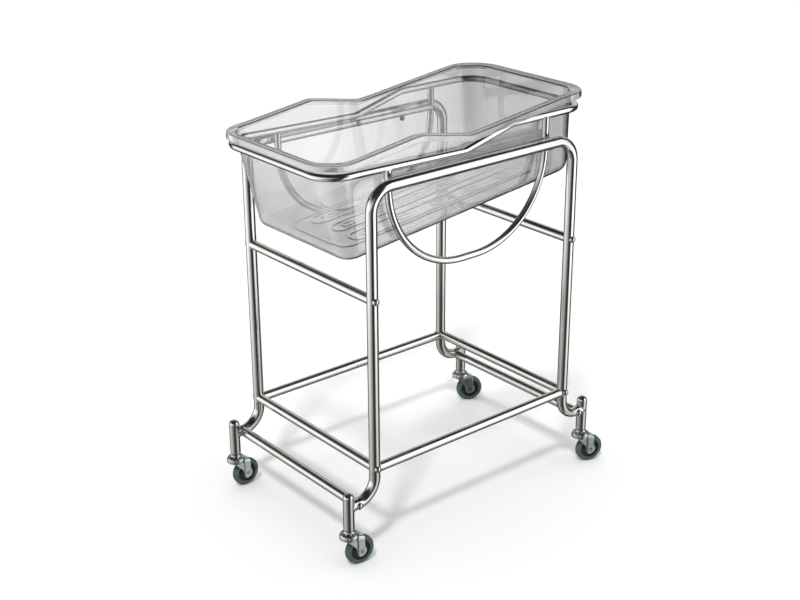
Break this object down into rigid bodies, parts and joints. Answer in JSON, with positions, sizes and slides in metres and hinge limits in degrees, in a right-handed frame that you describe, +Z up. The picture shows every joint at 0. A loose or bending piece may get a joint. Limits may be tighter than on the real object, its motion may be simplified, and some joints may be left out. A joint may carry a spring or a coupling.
{
  "type": "hospital infant bassinet",
  "caption": "Wheeled hospital infant bassinet: a clear moulded tub hangs in a tube ring on a tilting cradle, carried by a bent steel tube stand on swivel casters.",
  "frame": {"origin": "on the floor, at the middle of the part's footprint", "axes": "+Z up; +X towards the tub's raised head end; +Y towards the left side, where the tilt lock is"},
  "size_m": [0.8157, 0.4996, 0.9515],
  "materials": {
    "stainless_tube": "satin",
    "zinc_fittings": "bright zinc",
    "caster_steel": "zinc plated",
    "clear_plastic": "clear moulded plastic",
    "tyre": "matte grey-green",
    "dark_plastic": "matte"
  },
  "bodies": {
    "stand": {"side_frame_right": "stainless_tube", "side_frame_left": "stainless_tube", "post_foot_right": "stainless_tube", "post_foot_left": "stainless_tube", "post_head_right": "stainless_tube", "post_head_left": "stainless_tube", "long_bar_right": "stainless_tube", "long_bar_left": "stainless_tube", "lower_crossbar_foot": "stainless_tube", "lower_crossbar_head": "stainless_tube", "middle_crossbar_foot": "stainless_tube", "middle_crossbar_head": "stainless_tube", "bottom_crossbar_foot": "stainless_tube", "bottom_crossbar_head": "stainless_tube", "middle_bolts": "zinc_fittings", "lower_bolts": "zinc_fittings", "bottom_bolts": "zinc_fittings", "pivot_bolt_right": "zinc_fittings", "pivot_bolt_left": "zinc_fittings", "pivot_spacers": "dark_plastic", "socket_foot_right": "caster_steel", "stem_foot_right": "caster_steel", "socket_foot_left": "caster_steel", "stem_foot_left": "caster_steel", "socket_head_right": "caster_steel", "stem_head_right": "caster_steel", "socket_head_left": "caster_steel", "stem_head_left": "caster_steel"},
    "cradle": {"rim_ring": "stainless_tube", "side_bar_right": "stainless_tube", "side_bar_left": "stainless_tube", "side_arc_right": "stainless_tube", "side_arc_left": "stainless_tube"},
    "lock": {"lock_spindle": "zinc_fittings", "lock_lever": "zinc_fittings", "lock_knob": "dark_plastic"},
    "tub": {"tub": "clear_plastic"},
    "swivel_foot_right": {"fork_foot_right": "caster_steel", "axle_foot_right": "caster_steel"},
    "wheel_foot_right": {"hub_foot_right": "dark_plastic", "tyre_foot_right": "tyre"},
    "swivel_foot_left": {"fork_foot_left": "caster_steel", "axle_foot_left": "caster_steel"},
    "wheel_foot_left": {"hub_foot_left": "dark_plastic", "tyre_foot_left": "tyre"},
    "swivel_head_right": {"fork_head_right": "caster_steel", "axle_head_right": "caster_steel"},
    "wheel_head_right": {"hub_head_right": "dark_plastic", "tyre_head_right": "tyre"},
    "swivel_head_left": {"fork_head_left": "caster_steel", "axle_head_left": "caster_steel"},
    "wheel_head_left": {"hub_head_left": "dark_plastic", "tyre_head_left": "tyre"}
  },
  "joints": [
    {"name": "tilt", "type": "hinge", "parent": "stand", "child": "cradle", "pos_m": [-0.01723, 0, 0.8575], "axis": [0, 1, 0], "range_deg": [-10, 10]},
    {"name": "lock_turn", "type": "hinge", "parent": "cradle", "child": "lock", "pos_m": [0.12277, 0.198, 0.8575], "axis": [0, 0, 1], "range_deg": [-12, 12]},
    {"name": "tub_lift", "type": "slide", "parent": "cradle", "child": "tub", "axis": [0, 0, 1], "range_m": [0, 0.25]},
    {"name": "swivel_turn_foot_right", "type": "hinge", "parent": "stand", "child": "swivel_foot_right", "pos_m": [-0.38373, -0.225, 0.08], "axis": [0, 0, 1], "continuous": true},
    {"name": "wheel_spin_foot_right", "type": "hinge", "parent": "swivel_foot_right", "child": "wheel_foot_right", "pos_m": [-0.35897, -0.22848, 0.035], "axis": [0.1392, 0.9903, 0], "continuous": true},
    {"name": "swivel_turn_foot_left", "type": "hinge", "parent": "stand", "child": "swivel_foot_left", "pos_m": [-0.38373, 0.225, 0.08], "axis": [0, 0, 1], "continuous": true},
    {"name": "wheel_spin_foot_left", "type": "hinge", "parent": "swivel_foot_left", "child": "wheel_foot_left", "pos_m": [-0.35873, 0.225, 0.035], "axis": [0, 1, 0], "continuous": true},
    {"name": "swivel_turn_head_right", "type": "hinge", "parent": "stand", "child": "swivel_head_right", "pos_m": [0.34927, -0.225, 0.08], "axis": [0, 0, 1], "continuous": true},
    {"name": "wheel_spin_head_right", "type": "hinge", "parent": "swivel_head_right", "child": "wheel_head_right", "pos_m": [0.37276, -0.23355, 0.035], "axis": [0.342, 0.9397, 0], "continuous": true},
    {"name": "swivel_turn_head_left", "type": "hinge", "parent": "stand", "child": "swivel_head_left", "pos_m": [0.34927, 0.225, 0.08], "axis": [0, 0, 1], "continuous": true},
    {"name": "wheel_spin_head_left", "type": "hinge", "parent": "swivel_head_left", "child": "wheel_head_left", "pos_m": [0.37155, 0.21365, 0.035], "axis": [0.454, 0.891, 0], "continuous": true}
  ]
}
